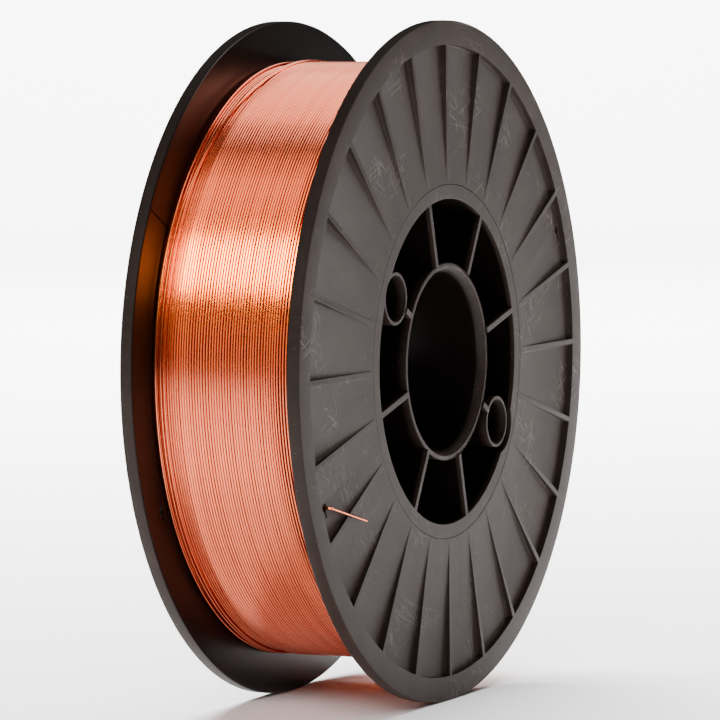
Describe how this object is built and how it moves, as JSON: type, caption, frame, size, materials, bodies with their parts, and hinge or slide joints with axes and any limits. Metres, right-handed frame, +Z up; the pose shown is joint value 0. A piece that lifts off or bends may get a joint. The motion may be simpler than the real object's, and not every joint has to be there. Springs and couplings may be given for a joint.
{
  "type": "wire spool",
  "caption": "Full spool of fine copper-coloured wire: two ribbed dark plastic flanges on a spoked hub with a spindle bore and drive pin holes.",
  "frame": {"origin": "centre of the spindle bore, midway between the outer faces of the two flanges", "axes": "+Y along the bore towards the rear flange, +Z up with the spool standing on its rims, front face with the wire end towards -Y"},
  "size_m": [0.2, 0.057, 0.2],
  "materials": {
    "flange_plastic": "satin",
    "core_plastic": "satin",
    "copper_coated_wire": "polished"
  },
  "bodies": {
    "root": {"front_flange": "flange_plastic", "rear_flange": "flange_plastic", "barrel": "core_plastic", "hub_sleeve": "core_plastic", "spoke_1": "core_plastic", "spoke_2": "core_plastic", "spoke_3": "core_plastic", "spoke_4": "core_plastic", "spoke_5": "core_plastic", "spoke_6": "core_plastic", "spoke_7": "core_plastic", "spoke_8": "core_plastic", "drive_tube_upper": "core_plastic", "drive_tube_lower": "core_plastic", "wire_winding": "copper_coated_wire", "wire_top_layer": "copper_coated_wire", "wire_loose_turns": "copper_coated_wire", "wire_tail": "copper_coated_wire", "wire_start": "copper_coated_wire"}
  },
  "joints": []
}
